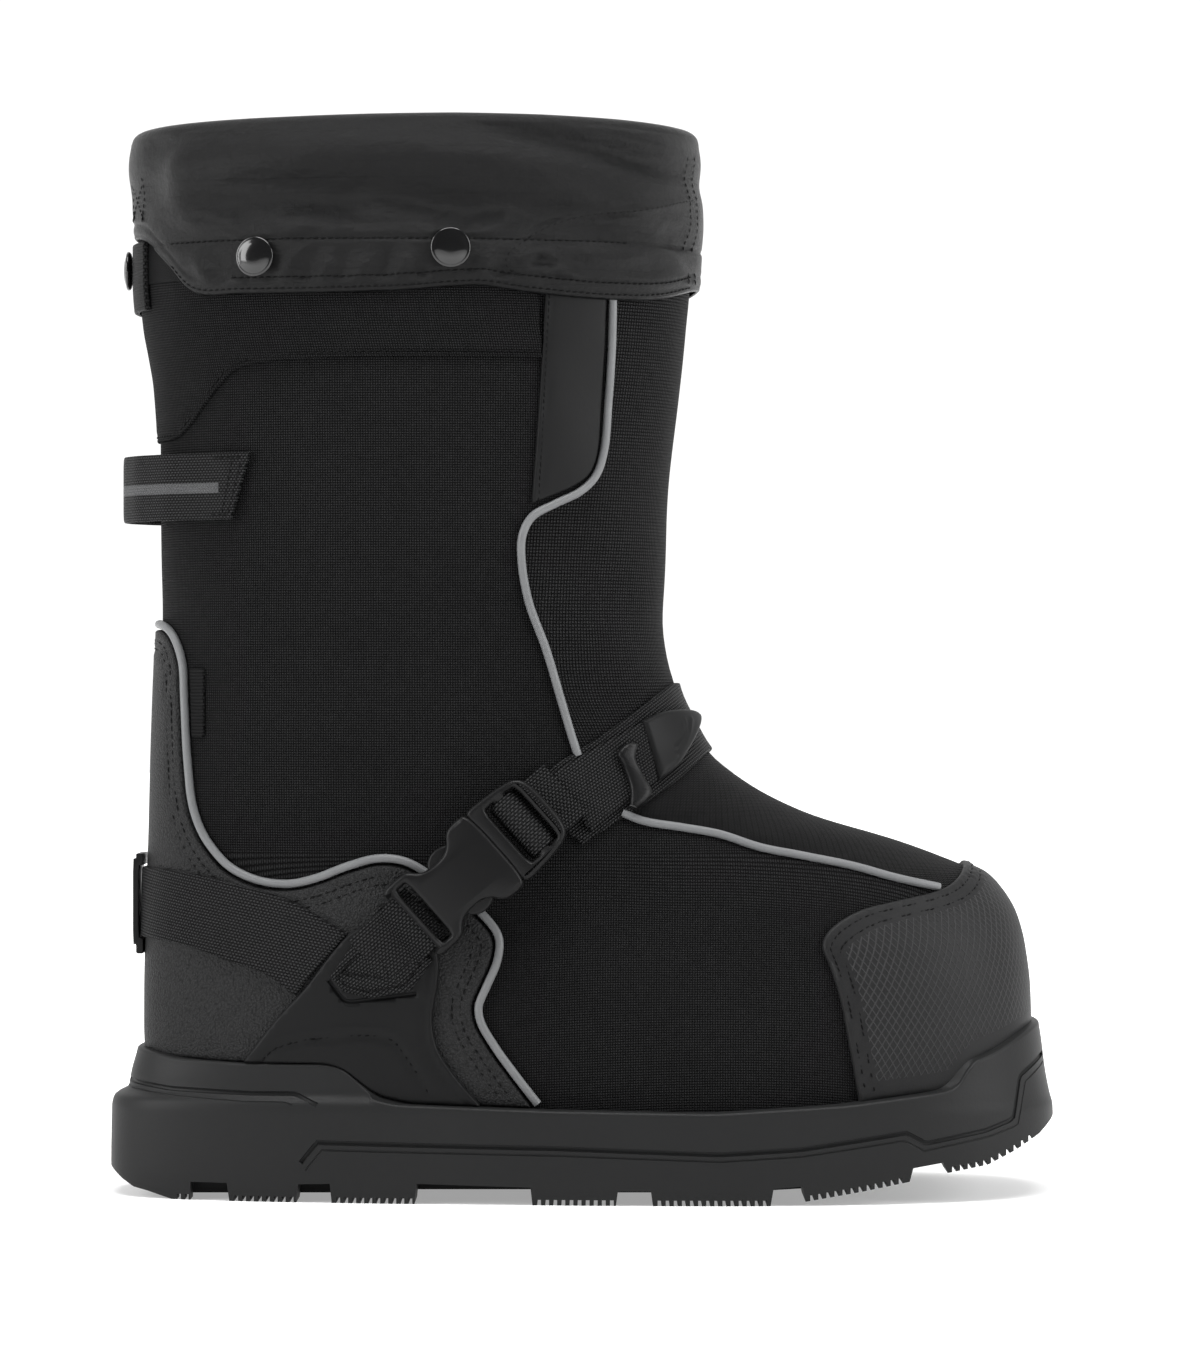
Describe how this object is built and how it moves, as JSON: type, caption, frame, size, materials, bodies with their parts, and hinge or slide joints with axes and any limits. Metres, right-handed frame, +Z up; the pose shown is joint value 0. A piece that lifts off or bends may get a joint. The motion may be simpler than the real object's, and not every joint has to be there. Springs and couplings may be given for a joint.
{
  "type": "winter overshoe",
  "caption": "Tall winter overshoe for the right foot: lugged rubber sole, woven upper, fold-down cuff, heel and instep strap with a side-release buckle.",
  "frame": {"origin": "on the floor under the middle of the bounding box", "axes": "+Z up, +X towards the toe, -Y to the outer side, where the buckle is"},
  "size_m": [0.3596, 0.151, 0.405],
  "materials": {
    "upper": "tight plain weave, matt black",
    "insole": "pressed felt",
    "outsole": "moulded, satin",
    "heel_counter": "coated, grained",
    "toe_cap": "moulded, diamond relief",
    "yoke": "tight plain weave, matt black",
    "front_patch": "moulded, satin",
    "counter_piping": "light grey, slightly reflective",
    "front_piping_outer": "light grey, slightly reflective",
    "vamp_piping_outer": "light grey, slightly reflective",
    "front_piping_inner": "light grey, slightly reflective",
    "vamp_piping_inner": "light grey, slightly reflective",
    "heel_strap": "ribbed webbing",
    "saddle_outer": "moulded, satin",
    "saddle_inner": "moulded, satin",
    "instep_strap": "ribbed webbing",
    "strap_tip": "moulded, satin",
    "strap_keeper": "moulded, satin",
    "buckle_socket": "moulded, satin",
    "buckle_prong": "moulded, satin",
    "anchor_tab": "ribbed webbing",
    "strap_tail": "ribbed webbing",
    "cuff": "coated nylon, soft sheen",
    "snap_outer_rear": "polished cap",
    "snap_outer_front": "polished cap",
    "snap_inner_rear": "polished cap",
    "snap_inner_front": "polished cap",
    "back_tape": "ribbed webbing",
    "snap_back": "polished cap",
    "side_label": "ribbed webbing",
    "pull_loop": "ribbed webbing",
    "back_keeper": "moulded, satin"
  },
  "bodies": {
    "root": {"upper": "upper", "insole": "insole", "outsole": "outsole", "heel_counter": "heel_counter", "toe_cap": "toe_cap", "yoke": "yoke", "front_patch": "front_patch", "counter_piping": "counter_piping", "front_piping_outer": "front_piping_outer", "vamp_piping_outer": "vamp_piping_outer", "front_piping_inner": "front_piping_inner", "vamp_piping_inner": "vamp_piping_inner", "heel_strap": "heel_strap", "saddle_outer": "saddle_outer", "saddle_inner": "saddle_inner", "instep_strap": "instep_strap", "strap_tip": "strap_tip", "strap_keeper": "strap_keeper", "buckle_socket": "buckle_socket", "buckle_prong": "buckle_prong", "anchor_tab": "anchor_tab", "strap_tail": "strap_tail", "cuff": "cuff", "snap_outer_rear": "snap_outer_rear", "snap_outer_front": "snap_outer_front", "snap_inner_rear": "snap_inner_rear", "snap_inner_front": "snap_inner_front", "back_tape": "back_tape", "snap_back": "snap_back", "side_label": "side_label", "pull_loop": "pull_loop", "back_keeper": "back_keeper"}
  },
  "joints": []
}
